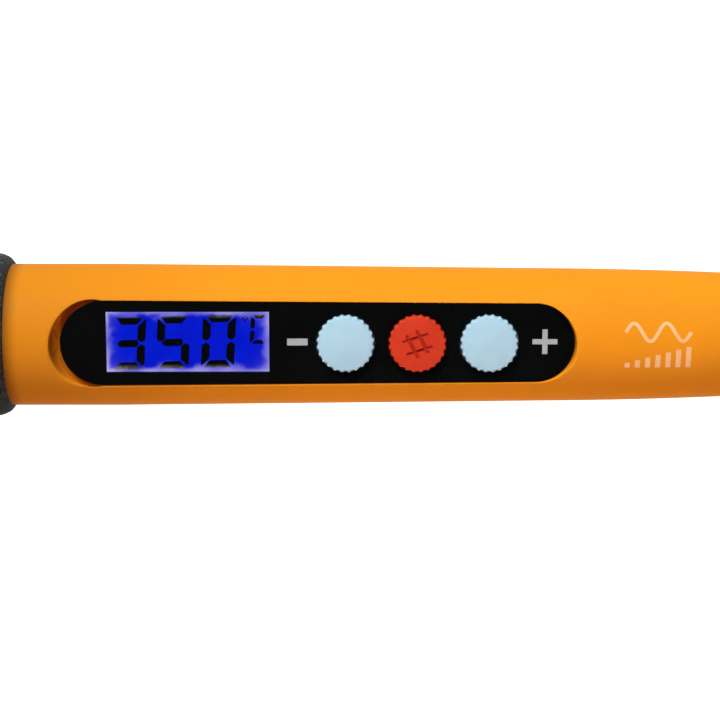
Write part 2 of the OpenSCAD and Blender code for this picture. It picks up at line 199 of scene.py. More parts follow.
class Nodes:
    """Short way to write a node tree."""

    def __init__(self, name):
        self.material = bpy.data.materials.new(name)
        self.material.use_nodes = True
        self.tree = self.material.node_tree
        self.tree.nodes.clear()
        self.where = self.node("ShaderNodeTexCoord").outputs["Object"]

    def node(self, kind, inputs=None, **settings):
        n = self.tree.nodes.new(kind)
        for key, value in settings.items():
            setattr(n, key, value)
        for key, value in (inputs or {}).items():
            self.put(n.inputs[key], value)
        return n

    def put(self, socket, value):
        if isinstance(value, bpy.types.NodeSocket):
            self.tree.links.new(value, socket)
        else:
            socket.default_value = value

    def noise(self, size, detail=4.0, rough=0.6, stretch=None, offset=0.0):
        """Noise whose grains are about size millimetres across, from 0 to 1."""
        where = self.where
        if stretch or offset:
            mapping = self.node("ShaderNodeMapping", {"Vector": where})
            mapping.inputs["Scale"].default_value = stretch or (1, 1, 1)
            mapping.inputs["Location"].default_value = (offset, offset, offset)
            where = mapping.outputs["Vector"]
        n = self.node("ShaderNodeTexNoise", {"Vector": where, "Scale": 1 / (size * MM), "Detail": detail,
                                            "Roughness": rough})
        return n.outputs["Fac"]

    def mix(self, factor, a, b):
        n = self.node("ShaderNodeMix", data_type="RGBA")
        self.put(n.inputs[0], factor)
        self.put(n.inputs[6], a)
        self.put(n.inputs[7], b)
        return n.outputs[2]

    def ramp(self, value, low, high, to_low=0.0, to_high=1.0):
        n = self.node("ShaderNodeMapRange", {"Value": value, "From Min": low, "From Max": high,
                                             "To Min": to_low, "To Max": to_high},
                      interpolation_type="SMOOTHSTEP")
        return n.outputs["Result"]

    def math(self, operation, a, b=0.0):
        n = self.node("ShaderNodeMath", operation=operation)
        self.put(n.inputs[0], a)
        self.put(n.inputs[1], b)
        return n.outputs[0]

    def bump(self, height, depth, distance=0.1):
        n = self.node("ShaderNodeBump", {"Height": height, "Strength": depth, "Distance": distance * MM})
        return n.outputs["Normal"]

    def finish(self, shader):
        out = self.node("ShaderNodeOutputMaterial")
        self.tree.links.new(shader, out.inputs["Surface"])
        return self.material


def color(r, g, b, a=1.0):
    return (r, g, b, a)


def plastic(name, base, shade_base, rough=0.45, grain=0.12, bump=0.12, patch=9.0, stretch=None,
            painted_shade=(), painted_groove_shade=None, **sockets):
    """Solid finish: two close tints in soft patches, a fine grain in the surface and in its roughness.
    painted_shade holds (x, x, tint) of painted shade: the finish takes that darker tint before the first x
    and loses it by the second.
    painted_groove_shade is (node, dome, tint): what is cut into that button's domed top takes that tint, as
    painted shade in the groove."""
    m = Nodes(name)
    patches = m.noise(patch, 3.0, 0.55)
    fine = m.noise(grain, 3.0, 0.6, stretch, offset=0.013)
    tint = m.mix(m.ramp(patches, 0.25, 0.75), base, shade_base)
    tint = m.mix(m.ramp(fine, 0.62, 0.85, 0.0, 0.18), tint, shade_base)
    # painted shade: a darker tint towards low x, where less light falls
    for low, high, deep in painted_shade:
        x = m.node("ShaderNodeSeparateXYZ", {"Vector": m.where}).outputs["X"]
        tint = m.mix(m.ramp(x, low * MM, high * MM, 1.0, 0.0), tint, deep)
    # painted shade: what is cut into the cap takes a darker tint all through
    if painted_groove_shade:
        tint = m.mix(groove_shade_mask(m, *painted_groove_shade[:2]), tint, painted_groove_shade[2])
    inputs = {
        "Base Color": tint,
        "Roughness": m.ramp(fine, 0.25, 0.75, max(0.03, rough - 0.06), min(1.0, rough + 0.06)),
        "Normal": m.bump(fine, bump, 0.05),
    }
    inputs.update(sockets)
    shader = m.node("ShaderNodeBsdfPrincipled", inputs)
    return m.finish(shader.outputs["BSDF"])


def groove_shade_mask(m, node, dome):
    """Mask of the points that lie under a round button's domed top, away from its rim: where painted shade
    darkens the groove.
    """
    lo, hi = box(node)
    xyz = m.node("ShaderNodeSeparateXYZ", {"Vector": m.where}).outputs
    u = m.math("DIVIDE", m.math("SUBTRACT", xyz["X"], (lo.x + hi.x) / 2 * MM), BUTTON_R * MM)
    v = m.math("DIVIDE", xyz["Y"], BUTTON_R * MM)
    square = m.math("ADD", m.math("MULTIPLY", u, u), m.math("MULTIPLY", v, v))
    surface = m.math("SUBTRACT", hi.z * MM, m.math("MULTIPLY", square, dome * MM))
    deep = m.ramp(m.math("SUBTRACT", surface, xyz["Z"]), 0.02 * MM, 0.1 * MM)
    return m.math("MULTIPLY", deep, m.ramp(square, 0.62, 0.68, 1.0, 0.0))


def foam_material():
    m = Nodes("foam")
    cells = m.node("ShaderNodeTexVoronoi", {"Vector": m.where, "Scale": 1 / (0.42 * MM)}).outputs["Distance"]
    fine = m.noise(0.16, 2.0, 0.7)
    speck = m.noise(0.34, 2.0, 0.75, offset=0.02)
    tint = m.mix(m.ramp(fine, 0.3, 0.7), color(0.002, 0.002, 0.002), color(0.024, 0.023, 0.023))
    tint = m.mix(m.ramp(speck, 0.54, 0.68, 0.0, 0.9), tint, color(0.13, 0.127, 0.13))
    height = m.math("ADD", m.math("MULTIPLY", cells, 0.6), m.math("MULTIPLY", fine, 0.5))
    shader = m.node("ShaderNodeBsdfPrincipled", {
        "Base Color": tint, "Roughness": m.ramp(fine, 0.2, 0.8, 0.78, 0.98),
        "Normal": m.bump(height, 0.6, 0.12), "Specular IOR Level": 0.25, "Sheen Weight": 0.04,
        "Sheen Roughness": 0.4})
    return m.finish(shader.outputs["BSDF"])


def metal(name, base, dark, rough=0.3, grain=0.25, stretch=(1, 1, 1), bump=0.1, stain=None, stain_at=None):
    """Metal with fine tool marks and cloudy stains. stain darkens it between the two x of stain_at."""
    m = Nodes(name)
    marks = m.noise(grain, 3.0, 0.65, stretch)
    cloud = m.noise(4.0, 4.0, 0.6)
    tint = m.mix(m.ramp(cloud, 0.35, 0.75), base, dark)
    rough_out = m.ramp(marks, 0.2, 0.8, max(0.04, rough - 0.09), rough + 0.09)
    if stain:
        x = m.node("ShaderNodeSeparateXYZ", {"Vector": m.where}).outputs["X"]
        wobble = m.math("ADD", x, m.math("MULTIPLY", m.math("SUBTRACT", cloud, 0.5), 3 * MM))
        tint = m.mix(m.ramp(wobble, stain_at[0] * MM, stain_at[1] * MM), tint, stain)
    shader = m.node("ShaderNodeBsdfPrincipled", {
        "Base Color": tint, "Metallic": 1.0, "Roughness": rough_out, "Normal": m.bump(marks, bump, 0.03)})
    return m.finish(shader.outputs["BSDF"])


def side_gaps(m, centre, half):
    """Distances in metres from a point to the display window's sides, along x and along y."""
    xyz = m.node("ShaderNodeSeparateXYZ", {"Vector": m.where})
    off = [m.math("ABSOLUTE", m.math("SUBTRACT", xyz.outputs[i], centre[i] * MM)) for i in range(2)]
    return [m.math("SUBTRACT", half[i] * MM, off[i]) for i in range(2)]


def display_material(centre, half):
    """Blue backlight, with the pale glow that leaks in along the window's sides and corners."""
    m = Nodes("display_glass")
    gaps = side_gaps(m, centre, half)
    near = m.math("MAXIMUM", m.math("MINIMUM", gaps[0], gaps[1]), 0.0)
    cloud = m.noise(3.2, 2.0, 0.5)
    width = m.ramp(cloud, 0.3, 0.7, 0.4 * MM, 1.1 * MM)
    power = m.ramp(m.noise(6.0, 1.0, 0.5, offset=0.004), 0.35, 0.65, 0.3, 0.72)
    falloff = m.math("DIVIDE", near, width)
    glow = m.math("EXPONENT", m.math("MULTIPLY", m.math("MULTIPLY", falloff, falloff), -1.0))
    both = m.math("ADD", m.math("MAXIMUM", gaps[0], 0.0), m.math("MAXIMUM", gaps[1], 0.0))
    corner = m.math("EXPONENT", m.math("DIVIDE", both, -1.1 * MM))
    leaks = m.math("ADD", m.math("MULTIPLY", glow, power), m.math("MULTIPLY", corner, 0.5))
    amount = m.math("MINIMUM", leaks, 1.0)
    blue = m.mix(m.ramp(cloud, 0.2, 0.8), color(0.0, 0.006, 0.57), color(0.0, 0.012, 0.63))
    tint = m.mix(amount, blue, color(0.52, 0.46, 0.86))
    shader = m.node("ShaderNodeBsdfPrincipled", {
        "Base Color": color(0.001, 0.001, 0.002), "Roughness": m.ramp(cloud, 0.2, 0.8, 0.22, 0.34),
        "Emission Color": tint, "Emission Strength": 1.0, "Specular IOR Level": 0.0,
        "Normal": m.bump(cloud, 0.02, 0.02)})
    return m.finish(shader.outputs["BSDF"])


def segment_material(centre, half):
    """Dark liquid crystal, which the glow at the window's long sides turns grey."""
    m = Nodes("segments")
    xyz = m.node("ShaderNodeSeparateXYZ", {"Vector": m.where})
    off = m.math("ABSOLUTE", m.math("SUBTRACT", xyz.outputs[1], centre[1] * MM))
    cloud = m.noise(1.6, 2.0, 0.5)
    pale = m.ramp(off, (half[1] - 1.3) * MM, (half[1] - 0.05) * MM)
    grey = m.mix(m.math("MULTIPLY", pale, m.ramp(cloud, 0.35, 0.65, 0.35, 1.0)),
                 color(0.0004, 0.0004, 0.001), color(0.30, 0.29, 0.28))
    shader = m.node("ShaderNodeBsdfPrincipled", {
        "Base Color": color(0.001, 0.001, 0.001), "Roughness": m.ramp(cloud, 0.2, 0.8, 0.4, 0.5),
        "Emission Color": grey, "Emission Strength": 1.0, "Specular IOR Level": 0.0,
        "Normal": m.bump(cloud, 0.02, 0.02)})
    return m.finish(shader.outputs["BSDF"])


def window_material():
    m = Nodes("clear_window")
    haze = m.noise(0.9, 3.0, 0.6)
    gloss = m.node("ShaderNodeBsdfGlossy", {
        "Color": m.mix(haze, color(0.9, 0.92, 1.0), color(1.0, 1.0, 1.0)),
        "Roughness": m.ramp(haze, 0.3, 0.7, 0.05, 0.09), "Normal": m.bump(haze, 0.02, 0.02)})
    clear = m.node("ShaderNodeBsdfTransparent", {"Color": color(0.985, 0.985, 1.0)})
    both = m.node("ShaderNodeMixShader", {0: 0.008, 1: clear.outputs[0], 2: gloss.outputs[0]})
    return m.finish(both.outputs[0])


LCD_LO, LCD_HI = box("lcd_lens")
LCD_C = (LCD_LO + LCD_HI) / 2
LCD_HALF = (LCD_HI - LCD_LO) / 2
TIP_X = box("soldering_tip")[0].x
BUTTON_R, BUTTON_DOME = 4.8, 0.45

MATERIALS = {
    "orange_shell": plastic("orange_shell", color(0.77, 0.236, 0.011), color(0.74, 0.222, 0.010),
                            0.55, 0.14, 0.10, 14.0,
                            # painted shade: the shell darkens towards the foam end, where less light falls,
                            # and a narrow painted shadow band lies along the foam's edge
                            painted_shade=((10.0, 75.0, color(0.57, 0.17, 0.009)),
                                    (21.2, 24.6, color(0.16, 0.045, 0.004))),
                            **{"Specular IOR Level": 0.03}),
    "foam": foam_material(),
    "black_plastic": plastic("black_plastic", color(0.018, 0.018, 0.02), color(0.03, 0.03, 0.033),
                             0.5, 0.2, 0.2),
    "panel_black": plastic("panel_black", color(0.0014, 0.0014, 0.0018), color(0.0022, 0.0022, 0.0026),
                           0.3, 0.3, 0.03, **{"Specular IOR Level": 0.08}),
    "clear_window": window_material(),
    "display_glass": display_material(LCD_C, LCD_HALF),
    "segments": segment_material(LCD_C, LCD_HALF),
    "light_guide": plastic("light_guide", color(0.75, 0.8, 1.0), color(0.6, 0.68, 0.95), 0.3, 0.3, 0.05),
    "tinned_pin": metal("tinned_pin", color(0.75, 0.75, 0.74), color(0.55, 0.55, 0.54), 0.3),
    "board_laminate": plastic("board_laminate", color(0.012, 0.1, 0.035), color(0.03, 0.17, 0.06),
                              0.3, 0.35, 0.15, 2.0),
    "switch_black": plastic("switch_black", color(0.02, 0.02, 0.02), color(0.035, 0.035, 0.035), 0.5),
    "plunger_grey": plastic("plunger_grey", color(0.3, 0.3, 0.28), color(0.36, 0.36, 0.34), 0.5),
    "button_blue": plastic("button_blue", color(0.375, 0.505, 0.66), color(0.34, 0.47, 0.63),
                           0.5, 0.16, 0.08, 3.0, **{"Specular IOR Level": 0.15}),
    "button_red": plastic("button_red", color(0.56, 0.034, 0.013), color(0.51, 0.028, 0.010),
                          0.5, 0.16, 0.08, 3.0,
                          # painted shade in the # grooves: they take a darker red all through
                          painted_groove_shade=("button_set", BUTTON_DOME, color(0.38, 0.014, 0.006)),
                          **{"Specular IOR Level": 0.12}),
    "chip_epoxy": plastic("chip_epoxy", color(0.02, 0.02, 0.022), color(0.035, 0.035, 0.036), 0.65),
    "capacitor_can": plastic("capacitor_can", color(0.01, 0.02, 0.12), color(0.02, 0.03, 0.18), 0.35),
    "film_case": plastic("film_case", color(0.75, 0.48, 0.04), color(0.66, 0.4, 0.03), 0.4),
    "resistor_body": plastic("resistor_body", color(0.55, 0.36, 0.18), color(0.44, 0.27, 0.12), 0.4,
                             patch=1.5),
    "connector_nylon": plastic("connector_nylon", color(0.82, 0.78, 0.66), color(0.74, 0.69, 0.56), 0.45),
    "terminal_green": plastic("terminal_green", color(0.03, 0.28, 0.13), color(0.02, 0.22, 0.1), 0.45),
    "lead_sleeving": plastic("lead_sleeving", color(0.8, 0.78, 0.72), color(0.68, 0.65, 0.58),
                             0.6, 0.2, 0.4, 2.0, stretch=(1, 3, 3)),
    "ceramic": plastic("ceramic", color(0.82, 0.78, 0.7), color(0.7, 0.64, 0.54), 0.55, 0.15, 0.2),
    "spring_steel": metal("spring_steel", color(0.6, 0.59, 0.57), color(0.42, 0.41, 0.4), 0.3),
    "zinc_screw": metal("zinc_screw", color(0.66, 0.67, 0.68), color(0.5, 0.5, 0.52), 0.32),
    "steel": metal("steel", color(0.6, 0.6, 0.6), color(0.46, 0.46, 0.47), 0.3, 0.3, (4, 1, 1)),
    "stainless": metal("stainless", color(0.66, 0.65, 0.63), color(0.53, 0.51, 0.49),
                       0.28, 0.3, (6, 1, 1), 0.14, color(0.42, 0.31, 0.2), (-66, -80)),
    "tip_iron": metal("tip_iron", color(0.24, 0.22, 0.2), color(0.14, 0.125, 0.115),
                      0.42, 0.2, (5, 1, 1), 0.2, color(0.74, 0.74, 0.73), (TIP_X + 11.5, TIP_X + 8.5)),
    "black_rubber": plastic("black_rubber", color(0.012, 0.012, 0.013), color(0.022, 0.022, 0.024),
                            0.72, 0.18, 0.35),
    "panel_print": plastic("panel_print", color(0.31, 0.29, 0.345), color(0.34, 0.315, 0.375),
                           0.6, 0.15, 0.1, 1.2),
    "tail_print": plastic("tail_print", color(0.88, 0.42, 0.2), color(0.84, 0.38, 0.17),
                          0.55, 0.14, 0.1, 2.0),
}

# ---------------------------------------------------------------- the handle's shape, as the CAD part has it

SHELL_LO, SHELL_HI = box("upper_shell")
FOAM_LO, FOAM_HI = box("foam_grip")
HANDLE_R = SHELL_HI.z
TAIL_X = SHELL_HI.x
SPIGOT_X = SHELL_LO.x
GRIP_X = FOAM_HI.x
SPIGOT_R = 10.4
TAPER_X, WAIST_X, WAIST_R = 40.0, 116.5, 11.22
TAIL_CURVE_R, TAIL_ROUND, WALL = 758.0, 4.0, 2.0
SLOPE = (HANDLE_R - WAIST_R) / (WAIST_X - TAPER_X)
ROUND_X = TAIL_X - TAIL_ROUND
# the seam groove takes up what lies past this angle from the top, in degrees
SEAM, SEAM_DEPTH = 89.2, 0.12
# flat ceiling inside the upper shell, under the panel
CEILING_Z = 7.6
CEILING_X = (28.0, 119.0)
# the faces round the pocket run out to this x, where whole rings take over
FAN_X = 124.0
TAIL_HOLE_R = 4.0
NOSE_HOLE_R = 6.3
SCREWS_X = (28.0, 131.0)
BOARD_SCREWS_X = (70.9, 110.2)
LEDGES_X = (58, 88, 120)
CLAMP_X, CLAMP_Y = 143.0, 4.6
BUTTON_X = {key: sum(corner.x for corner in box("button_" + key)) / 2 for key in ("minus", "set", "plus")}

PANEL_LO, PANEL_HI = box("control_panel")
PANEL_R0, PANEL_R1 = PANEL_HI.y + 0.03, 6.51
PANEL_X0 = PANEL_LO.x - 0.03 + PANEL_R0
PANEL_X1 = PANEL_HI.x + 0.03 - PANEL_R1
PANEL_Z0, PANEL_Z1 = 9.35, 8.85
PLATE_T = 0.6
LEAN = math.asin((PANEL_R0 - PANEL_R1) / (PANEL_X1 - PANEL_X0))


def handle_radius(x):
    if x < TAPER_X:
        return HANDLE_R
    if x < WAIST_X:
        return HANDLE_R - SLOPE * (x - TAPER_X)
    return WAIST_R - SLOPE * (x - WAIST_X) - (x - WAIST_X) ** 2 / (2 * TAIL_CURVE_R)


def panel_z(x):
    return PANEL_Z0 + (PANEL_Z1 - PANEL_Z0) * (x - PANEL_X0) / (PANEL_X1 - PANEL_X0)


def top_z(x, y):
    return math.sqrt(max(0.0, handle_radius(x) ** 2 - y * y))


def on_handle(x, degrees, inset=0.0, side=1):
    r = handle_radius(x) - inset
    a = math.radians(degrees)
    return (x, r * math.sin(a), side * r * math.cos(a))


ARC = 96
THETAS = [-SEAM + 2 * SEAM * k / (ARC // 2) for k in range(ARC // 2 + 1)]


def pocket_loop():
    """Points round the pocket: panel's outline, direction outwards, gap, lip, and the far end of the fan."""
    items = []

    def target(t, edge_x, arc_x, sign):
        # sign is 1 when the arc runs from the lower seam to the upper one
        if t < 0.25:
            return (arc_x + (edge_x - arc_x) * t / 0.25, -SEAM * sign)
        if t <= 0.75:
            return (edge_x, sign * (-SEAM + 2 * SEAM * (t - 0.25) / 0.5))
        return (edge_x + (arc_x - edge_x) * (t - 0.75) / 0.25, SEAM * sign)

    def arc(cx, r, a0, a1, edge_x, sign):
        for i in range(ARC + 1):
            a = a0 + (a1 - a0) * i / ARC
            n = (math.cos(a), math.sin(a))
            start = cx + r * math.cos(a0)
            if sign < 0:
                off = min(1.0, abs(a - math.pi) / (math.pi / 2))
                near = 1 - off ** 3
                lit = max(0.0, math.sin(2 * a)) if a > math.pi else 0.0
                gap = (0.16 + 1.36 * (1 - off ** 2.1), 0.3 + 1.0 * near)
                lip = (0.30 + 0.4 * near + 0.9 * lit, 0.12 + 0.12 * near + 0.65 * lit)
            else:
                near = 1 - min(1.0, abs(a) / (math.pi / 2)) ** 3
                gap, lip = (0.13, 0.55), (0.30 + 0.35 * near, 0.12 + 0.38 * near)
            items.append(((cx + r * n[0], r * n[1]), n, gap, lip, target(i / ARC, edge_x, start, sign)))

    def side(x_from, x_to, sign):
        steps = 80
        n = (math.sin(LEAN), sign * math.cos(LEAN))
        for i in range(1, steps):
            t = i / steps
            x = x_from + (x_to - x_from) * t
            y = sign * (PANEL_R0 * math.cos(LEAN) - (x - PANEL_X0) * math.tan(LEAN))
            left = 1 - (x - min(x_from, x_to)) / abs(x_to - x_from)
            items.append(((x, y), n, (0.13 + 0.05 * left, 0.55 - 0.25 * left), (0.3, 0.12), (x, SEAM * sign)))

    quarter = math.pi / 2 - LEAN
    x1 = PANEL_X1 + PANEL_R1 * math.cos(quarter)
    x0 = PANEL_X0 + PANEL_R0 * math.cos(quarter)
    arc(PANEL_X1, PANEL_R1, -quarter, quarter, FAN_X, 1)
    side(x1, x0, 1)
    arc(PANEL_X0, PANEL_R0, quarter, 2 * math.pi - quarter, GRIP_X, -1)
    side(x0, x1, -1)
    return items


def pocket_rows():
    """Rows of faces from the pocket's floor, through the gap round the panel and out across the handle."""
    fan, bend = 20, 10
    rows = [[] for _ in range(5 + bend + fan)]
    for (px, py), (nx, ny), (gap, depth), (reach, drop), (tx, tt) in pocket_loop():
        zp = panel_z(px)
        bx, by = px + nx * (gap + reach), py + ny * (gap + reach)
        corner = Vector((gap, top_z(px + nx * gap, py + ny * gap)))
        a = Vector((gap, corner.y - min(drop, 0.6 * (corner.y - zp))))
        b = Vector((gap + reach, top_z(bx, by)))
        points = [(px, py, zp - PLATE_T), (px, py, zp - depth)]
        points.append((px + nx * gap * 0.5, py + ny * gap * 0.5, zp - depth))
        points.append((px + nx * gap, py + ny * gap, zp - depth))
        for k in range(bend):
            t = k / bend
            q = a * (1 - t) ** 2 + corner * 2 * t * (1 - t) + b * t * t
            points.append((px + nx * q.x, py + ny * q.x, q.y))
        points.append((bx, by, b.y))
        theta = math.degrees(math.asin(by / handle_radius(bx)))
        for k in range(1, fan + 1):
            f = (k / fan) ** 1.35
            points.append(on_handle(bx + (tx - bx) * f, theta + (tt - theta) * f))
        for row, p in zip(rows, points):
            row.append(p)
    return rows


def half_shell(side):
    """Upper half when side is 1, lower half when it is -1: closed all round."""
    solid = Solid()
    degrees = [-90.0] + THETAS + [90.0]

    def station(x, r, groove=False, clip=False):
        row = []
        for d in degrees:
            q = r - (SEAM_DEPTH if groove and abs(d) > SEAM + 0.1 else 0.0)
            a = math.radians(d)
            z = q * math.cos(a)
            row.append((x, q * math.sin(a), side * (min(z, CEILING_Z) if clip else z)))
        return row

    seam = {1: [], -1: []}
    if side > 0:
        loop = pocket_loop()
        patch = pocket_rows()
        solid.grid(patch, closed=True)
        solid.face(patch[0])
        for sign in (1, -1):
            xs = sorted({round(item[4][0], 6) for item in loop if abs(item[4][1] - SEAM * sign) < 1e-9})
            solid.grid([[on_handle(x, SEAM * sign) for x in xs],
                        [on_handle(x, 90 * sign, SEAM_DEPTH) for x in xs]])
            seam[sign] += [on_handle(x, 90 * sign, SEAM_DEPTH) for x in xs]
        start = FAN_X
    else:
        start = GRIP_X
    count = math.ceil((ROUND_X - start) / 1.6)
    rows = [station(x, handle_radius(x), True) for x in np.linspace(start, ROUND_X, count + 1)]
    end_r = handle_radius(ROUND_X)
    for k in range(1, 13):
        a = math.radians(90 * k / 12)
        rows.append(station(ROUND_X + TAIL_ROUND * math.sin(a), end_r - TAIL_ROUND * (1 - math.cos(a)), True))
    rows += [station(TAIL_X, TAIL_HOLE_R + 0.2), station(TAIL_X - 0.2, TAIL_HOLE_R),
             station(ROUND_X, TAIL_HOLE_R)]
    inner = np.linspace(ROUND_X, CEILING_X[1], 30)
    rows += [station(x, handle_radius(x) - WALL) for x in inner]
    rows += [station(x, handle_radius(x) - WALL, clip=side > 0)
             for x in np.linspace(CEILING_X[1], CEILING_X[0], 46)]
    rows += [station(x, r) for x, r in [
        (CEILING_X[0], HANDLE_R - WALL), (GRIP_X + 2, HANDLE_R - WALL), (GRIP_X - 2, SPIGOT_R - WALL),
        (SPIGOT_X + 4, SPIGOT_R - WALL), (SPIGOT_X + 4, NOSE_HOLE_R), (SPIGOT_X, NOSE_HOLE_R),
        (SPIGOT_X, SPIGOT_R)]]
    rows += [station(x, SPIGOT_R) for x in np.linspace(SPIGOT_X, GRIP_X, 30)[1:]]
    rows.append(station(GRIP_X, HANDLE_R, True))
    solid.grid(rows)
    for sign in (1, -1):
        end = -1 if sign > 0 else 0
        path = seam[sign] + [row[end] for row in rows]
        kept = [p for i, p in enumerate(path)
                if (Vector(p) - Vector(path[i - 1])).length > 1e-5]
        solid.face(kept)
    return solid


def rework(shell, bosses, holes):
    """Adds the bosses to a shell as one cutter, then takes each group of holes away from it."""
    carve(shell, join(bosses).build("bosses"), 32, "UNION")
    for group in holes:
        carve(shell, join(group).build("holes"), 32)


def build_upper_shell():
    upper = half_shell(1).build("upper_shell_visual", smooth=32)
    # bosses for the casing's screws, the front one kept below the pocket, and posts for the board's
    boss_tops = (8.4, handle_radius(SCREWS_X[1]) - 1)
    bosses = [post(x, 0, 0, z, 2.6) for x, z in zip(SCREWS_X, boss_tops)]
    bosses += [post(x, 0, 2.6, 7.8, 1.8) for x in BOARD_SCREWS_X]
    # window of the display, holes of the buttons, pilot holes
    holes = [block(LCD_C.x - 15.2, LCD_C.x + 15.2, -6.1, 6.1, 7.1, 12.0)]
    holes += [post(x, 0, 7.1, 12.0, 5.2) for x in BUTTON_X.values()]
    holes += [post(x, 0, -0.5, 7, 1) for x in SCREWS_X] + [post(x, 0, 2.1, 6.4, 0.8) for x in BOARD_SCREWS_X]
    rework(upper, bosses, [holes])
    place(upper, "handle", "orange_shell", "upper_shell")


def build_lower_shell():
    lower = half_shell(-1).build("lower_shell_visual", smooth=32)
    # bosses for the casing's screws, ledges that carry the board, and the cord clamp's posts and saddle
    bosses = [post(x, 0, 1 - handle_radius(x), 0, 3.4) for x in SCREWS_X]
    bosses += [block(x - 0.75, x + 0.75, side * 7.8 - 0.8, side * 7.8 + 0.8, -7.0, 1.0)
               for x in LEDGES_X for side in (-1, 1)]
    bosses += [post(CLAMP_X, side * CLAMP_Y, -8.6, 2.3, 1.5) for side in (-1, 1)]
    bosses.append(block(CLAMP_X - 2, CLAMP_X + 2, -3, 3, -9.2, -2.5))
    # counterbores and screw holes, one after another, since each pair lies on one axis
    holes = [post(x, 0, -14, -6, 2.5) for x in SCREWS_X] + [post(x, 0, -6.5, 0.5, 1.3) for x in SCREWS_X]
    holes += [post(CLAMP_X, side * CLAMP_Y, -4, 4, 0.9) for side in (-1, 1)]
    rework(lower, bosses, [[hole] for hole in holes])
    place(lower, "handle", "orange_shell", "lower_shell")


# ---------------------------------------------------------------- foam grip and nose ring


def hash_noise(points, size, seed):
    """Smooth value noise from -1 to 1 at each point."""
    rng = np.random.default_rng(seed)
    table = rng.uniform(-1, 1, 4096)
    q = np.asarray(points) / size + 1000.0
    cell = np.floor(q).astype(int)
    f = q - cell
    f = f * f * (3 - 2 * f)
    total = 0.0
    for dx in (0, 1):
        for dy in (0, 1):
            for dz in (0, 1):
                weight = np.prod(np.where([dx, dy, dz], f, 1 - f), axis=1)
                key = (cell[:, 0] + dx) * 73 + (cell[:, 1] + dy) * 179 + (cell[:, 2] + dz) * 283
                total = total + weight * table[key % 4096]
    return total


def build_foam():
    lo, hi = FOAM_LO, FOAM_HI
    depth, edge_r = 2.8, 12.05
    turns = [math.radians(90 * k / 14) for k in range(15)]
    rounding = [(depth * (1 - math.cos(a)), edge_r + (hi.z - edge_r) * math.sin(a)) for a in turns]
    outline = [(lo.x + x, r) for x, r in rounding]
    outline += [(x, hi.z) for x in np.linspace(lo.x + depth, hi.x - depth, 132)[1:-1]]
    outline += [(hi.x - x, r) for x, r in reversed(rounding)]
    outline += [(hi.x, 11.6), (hi.x, SPIGOT_R), (lo.x, SPIGOT_R), (lo.x, 11.6)]
    solid = lathe(outline, 288)
    pts = np.array(solid.verts)
    rad = np.hypot(pts[:, 1], pts[:, 2])
    rough = (0.055 * hash_noise(pts, 0.55, 3) + 0.045 * hash_noise(pts, 0.95, 5)
             + 0.06 * hash_noise(pts, 4.5, 9))
    pull = np.where(rad > 12.0, np.clip(0.14 - rough, 0.0, 0.4) * np.clip((rad - 12.0) / 0.5, 0, 1), 0)
    pts[:, 1] *= (rad - pull) / rad
    pts[:, 2] *= (rad - pull) / rad
    solid.verts = [tuple(p) for p in pts]
    place(solid.build("foam_grip_visual", smooth=60), "handle", "foam", "foam_grip")


def build_nose_ring():
    lo, hi = box("nose_ring")
    hole_r = 6.6
    outline = fillet([(hi.x, SPIGOT_R, 0), (hi.x, 12.3, 0.25), (hi.x - 1.2, 12.5, 0.8),
                      (hi.x - 3.6, 11.9, 1.2), (hi.x - 4.9, 10.9, 1.0), (lo.x, 9.6, 0.4),
                      (lo.x, hole_r, 0.3), (SPIGOT_X, hole_r, 0), (SPIGOT_X, SPIGOT_R, 0)])
    place(lathe(outline).build("nose_ring_visual", smooth=32), "handle", "black_plastic", "nose_ring")


# ---------------------------------------------------------------- heating end

TIP_SHOULDER_X = -77.9


def build_nipple():
    lo, hi = box("nipple")
    r, bore_r, pitch, depth = 6.25, 4.6, 1.0, 0.34
    back = SPIGOT_X + 4
    steps = 12
    outline = [(lo.x, bore_r), (lo.x, r - 0.45), (lo.x + 0.35, r - 0.12)]
    outline += [(x, r) for x in np.arange(lo.x + 0.45, back - 4.2, pitch / steps)]
    outline += [(back, r), (back, hi.y), (hi.x - 0.2, hi.y), (hi.x, hi.y - 0.2), (hi.x, bore_r)]

    def thread(x, q, a):
        if q != r or x >= back - 0.01:
            return q
        t = ((x - lo.x) / pitch + a / (2 * math.pi)) % 1.0
        wave = abs(2 * t - 1)
        fade = min(1.0, (x - lo.x) / 0.8, (back - 4.0 - x) / 0.8)
        return q - depth * max(0.0, fade) * min(1.0, max(0.0, 1.25 * wave - 0.12))

    place(lathe(outline, 96, thread).build("nipple_visual", smooth=50), "handle", "steel", "nipple")


def build_nut():
    lo, hi = box("barrel_nut")
    r, thread_r, front_r = hi.z, 6.32, 4.7
    step_x, flute_x0, flute_x1 = -37.7, -37.3, -30.4
    flutes, depth = 30, 0.34
    outline = fillet([(hi.x, thread_r, 0.15), (hi.x, r - 0.05, 0.45), (-30.0, r, 0), (step_x, r, 0),
                      (lo.x + 1.4, r, 0.5), (lo.x, r - 1.8, 0.5), (lo.x, front_r, 0.15),
                      (step_x, front_r, 0), (step_x, thread_r, 0)])
    outline = subdivide(outline, 0.35)

    def knurl(x, q, a):
        if q < r - 0.02 or not flute_x0 < x < flute_x1:
            return q
        t = (a * flutes / (2 * math.pi)) % 1.0 - 0.5
        across = max(0.0, 1 - (t / 0.42) ** 2) ** 0.5
        fade = min(1.0, (x - flute_x0) / 0.5, (flute_x1 - x) / 0.5)
        return q - depth * across * max(0.0, fade) ** 0.5

    place(lathe(outline, 360, knurl).build("barrel_nut_visual", smooth=38), "nut", "steel", "barrel_nut")


